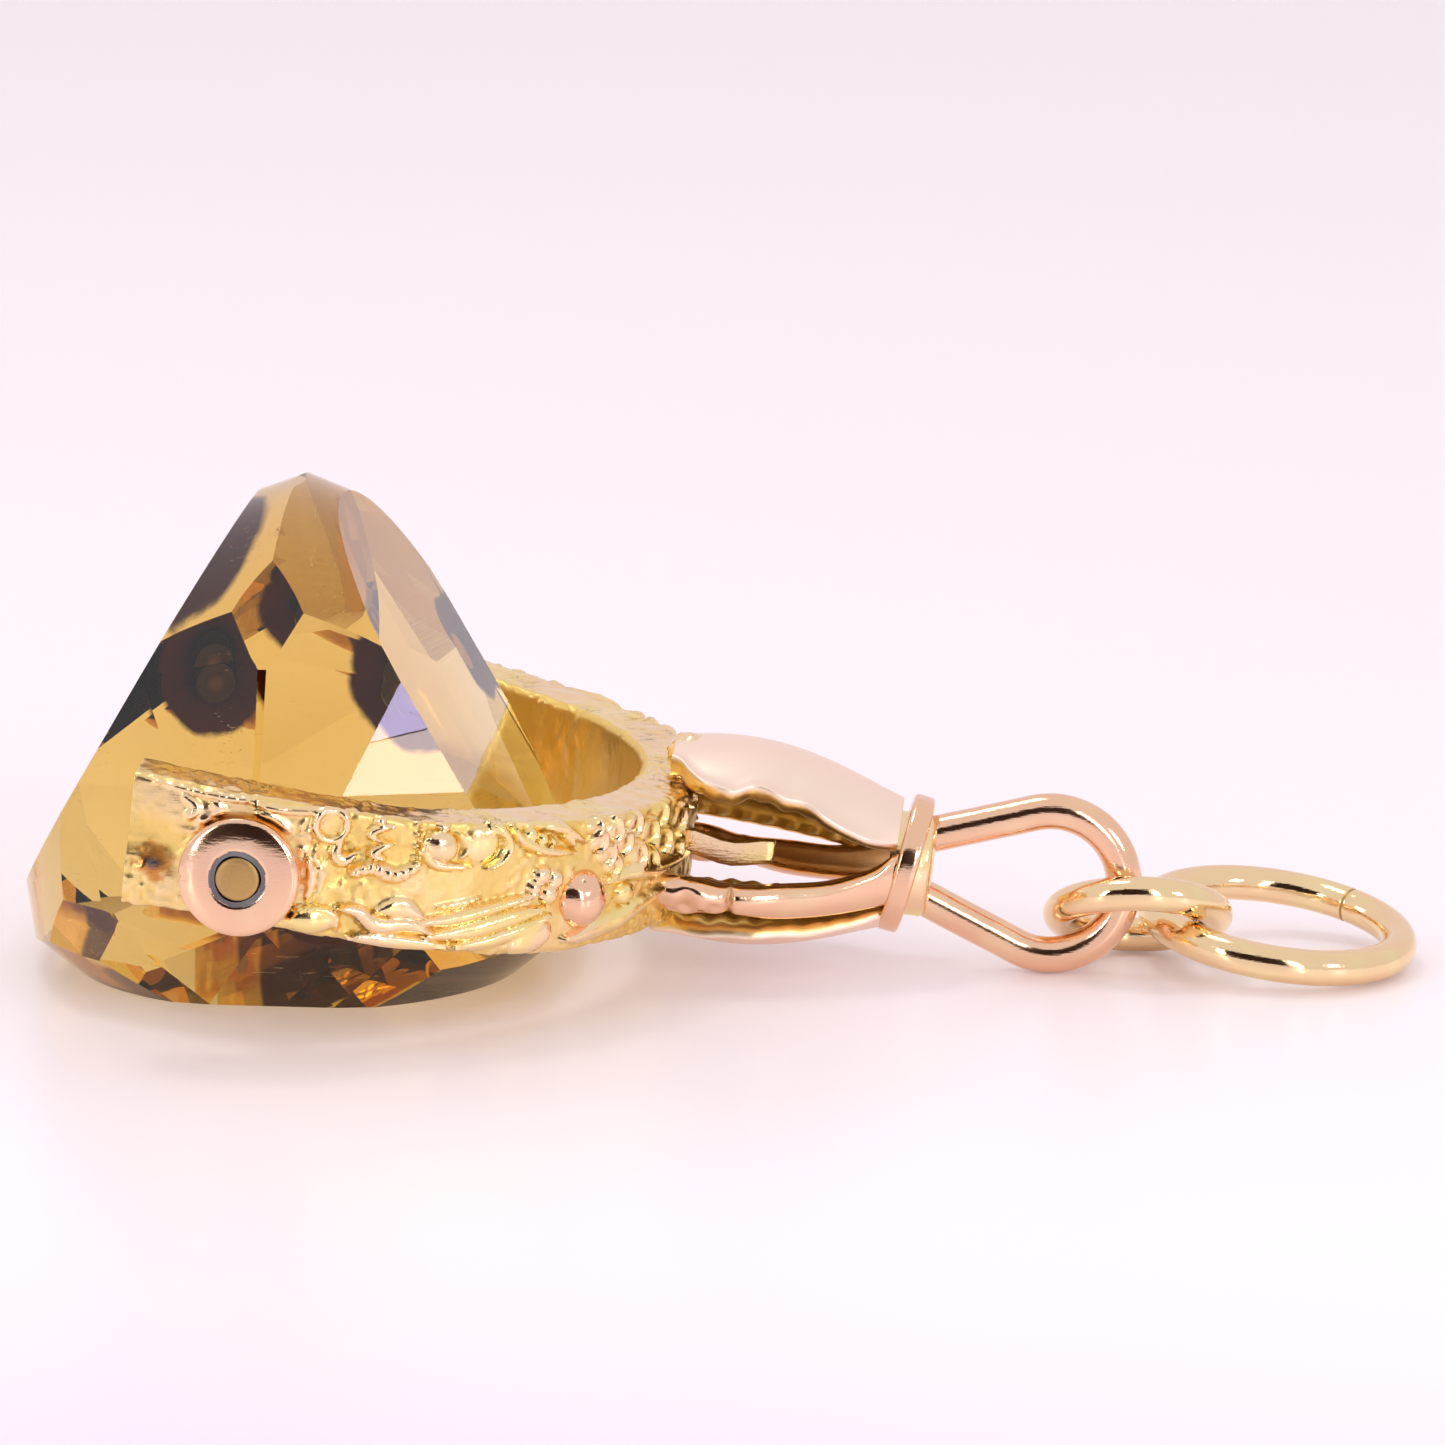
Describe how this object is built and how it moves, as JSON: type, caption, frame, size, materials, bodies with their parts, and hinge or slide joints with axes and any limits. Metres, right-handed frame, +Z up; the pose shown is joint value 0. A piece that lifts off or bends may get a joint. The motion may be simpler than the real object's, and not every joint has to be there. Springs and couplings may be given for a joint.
{
  "type": "spinner fob",
  "caption": "Watch-chain fob: a faceted golden stone turns on pins in a cast gold horseshoe yoke with a leafed crown, wire loop and interlocked rings.",
  "frame": {"origin": "centre of the round face of the stone that the fob rests on", "axes": "+X from the stone along the fob to the rings, +Y across it to the far arm, +Z up"},
  "size_m": [0.0466, 0.0296, 0.0162],
  "materials": {
    "citrine": "polished facets",
    "pin_gold": "dull",
    "rose_gold": "polished",
    "yellow_gold": "cast and worn",
    "ring_gold": "polished"
  },
  "bodies": {
    "frame": {"frame": "yellow_gold", "washer_near": "rose_gold", "washer_far": "rose_gold", "small_ring": "ring_gold", "large_ring": "ring_gold"},
    "spinner": {"stone": "citrine", "pin_near": "pin_gold", "pin_far": "pin_gold"}
  },
  "joints": [
    {"name": "stone_spin", "type": "hinge", "parent": "frame", "child": "spinner", "pos_m": [0, 0, 0.00606], "axis": [0, 1, 0], "continuous": true}
  ]
}
